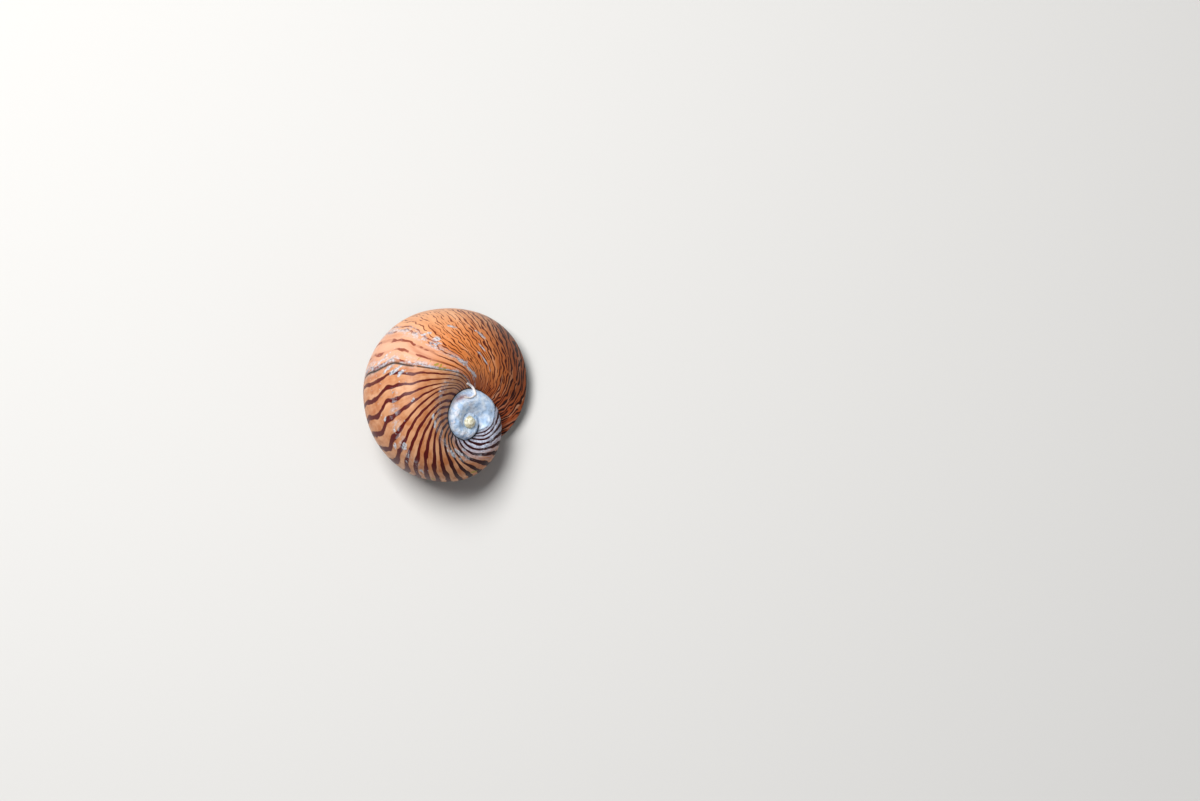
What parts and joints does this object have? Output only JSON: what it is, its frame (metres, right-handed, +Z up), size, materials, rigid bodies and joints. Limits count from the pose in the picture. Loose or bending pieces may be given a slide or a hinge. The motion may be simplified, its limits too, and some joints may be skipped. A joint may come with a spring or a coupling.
{
  "type": "nerite snail",
  "caption": "Life-size museum model of a nerite snail: domed striped shell with a low worn spire over a broad foot, with its head and tentacles tucked under the lip.",
  "frame": {"origin": "centre of the model's box on the floor, under the flat sole of the foot", "axes": "+Z up, -Y towards the head, +X towards the animal's left; the spire lies towards its right rear"},
  "size_m": [0.0212, 0.024, 0.0138],
  "materials": {
    "shell": "satin striped shell, worn at the spire, with a pale enamelled underside",
    "mantle": "moist grey flesh",
    "operculum": "limy door with a satin face",
    "foot": "moist grey flesh with fine dark lines",
    "head": "moist grey flesh with fine dark lines",
    "tentacle": "moist dark grey flesh",
    "eye": "black and glossy"
  },
  "bodies": {
    "root": {"shell": "shell", "mantle": "mantle", "operculum": "operculum", "foot": "foot", "head": "head", "tentacle_left": "tentacle", "tentacle_right": "tentacle", "eye_left": "eye", "eye_right": "eye"}
  },
  "joints": []
}
